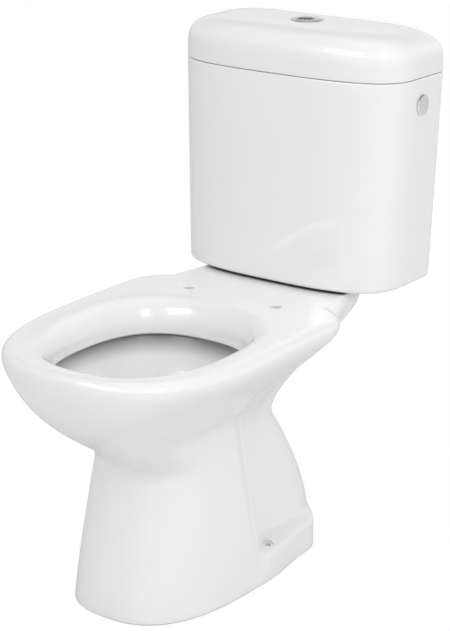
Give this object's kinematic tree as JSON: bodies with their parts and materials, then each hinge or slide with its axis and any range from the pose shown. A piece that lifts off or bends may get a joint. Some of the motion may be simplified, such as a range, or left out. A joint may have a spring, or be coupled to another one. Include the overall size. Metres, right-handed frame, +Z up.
{
  "type": "close coupled toilet",
  "caption": "Close coupled toilet: ceramic pan on a waisted pedestal, ceramic cistern with lid, dual-flush button, flush valve and float valve inside.",
  "frame": {"origin": "centre of the vertical waste outlet, on the floor plane", "axes": "+Z up, +Y back towards the wall, +X to the right hand of a person who faces the toilet"},
  "size_m": [0.4091, 0.6525, 0.772],
  "materials": {
    "glaze": "gloss",
    "chrome": "polished",
    "plastic": "satin",
    "rubber": "matte",
    "brass": "satin",
    "steel": "satin"
  },
  "bodies": {
    "fixed": {"pan": "glaze", "cistern": "glaze", "flush_valve_base": "plastic", "valve_base_washer": "rubber", "flush_valve_nut": "plastic", "close_coupling_washer": "rubber", "flush_valve_cage": "plastic", "rocker_pin": "steel", "fill_valve_body": "brass", "fill_valve_cap": "plastic", "fill_valve_nut": "brass", "shank_washer": "rubber", "outlet_tube": "plastic", "float_pin": "steel", "side_plug": "plastic", "side_plug_nut": "plastic", "coupling_bolts": "brass", "bolt_rubber_washers": "rubber", "bolt_metal_washers": "steel", "wing_nuts": "brass", "cistern_pads": "rubber"},
    "lid": {"cistern_lid": "glaze", "button_bezel": "chrome", "bezel_nut": "plastic", "full_button_spring": "steel", "half_button_spring": "steel"},
    "full_button": {"full_flush_button": "chrome", "full_flush_rod": "plastic"},
    "half_button": {"half_flush_button": "chrome", "half_flush_rod": "plastic"},
    "valve_float": {"overflow_tube": "plastic", "valve_seal": "rubber"},
    "rocker": {"full_flush_rocker": "plastic"},
    "half_link": {"half_flush_link": "plastic"},
    "float_arm": {"float_lever": "plastic", "float": "plastic"}
  },
  "joints": [
    {"name": "lid_lift", "type": "slide", "parent": "fixed", "child": "lid", "axis": [0, 0, 1], "range_m": [0, 0.12]},
    {"name": "full_flush", "type": "slide", "parent": "lid", "child": "full_button", "axis": [0, 0, -1], "range_m": [0, 0.006], "stiffness_N_per_m": 300, "springref_m": -0.006, "deforming": ["full_button_spring"]},
    {"name": "half_flush", "type": "slide", "parent": "lid", "child": "half_button", "axis": [0, 0, -1], "range_m": [0, 0.006], "stiffness_N_per_m": 300, "springref_m": -0.006, "deforming": ["half_button_spring"]},
    {"name": "rocker_turn", "type": "hinge", "parent": "fixed", "child": "rocker", "pos_m": [0.03, 0.1433, 0.6277], "axis": [0, 1, 0], "range_deg": [0, 30]},
    {"name": "seal_lift", "type": "slide", "parent": "fixed", "child": "valve_float", "axis": [0, 0, 1], "range_m": [0, 0.006]},
    {"name": "half_link_slide", "type": "slide", "parent": "fixed", "child": "half_link", "axis": [0, 0, -1], "range_m": [0, 0.006]},
    {"name": "float_turn", "type": "hinge", "parent": "fixed", "child": "float_arm", "pos_m": [-0.122, 0.1559, 0.685], "axis": [0, 1, 0], "range_deg": [0, 18]}
  ],
  "couplings": [
    {"joint": "rocker_turn", "follows": "full_flush", "rad_per_m": 87.2},
    {"joint": "seal_lift", "follows": "full_flush", "ratio": 1},
    {"joint": "half_link_slide", "follows": "half_flush", "ratio": 1}
  ]
}
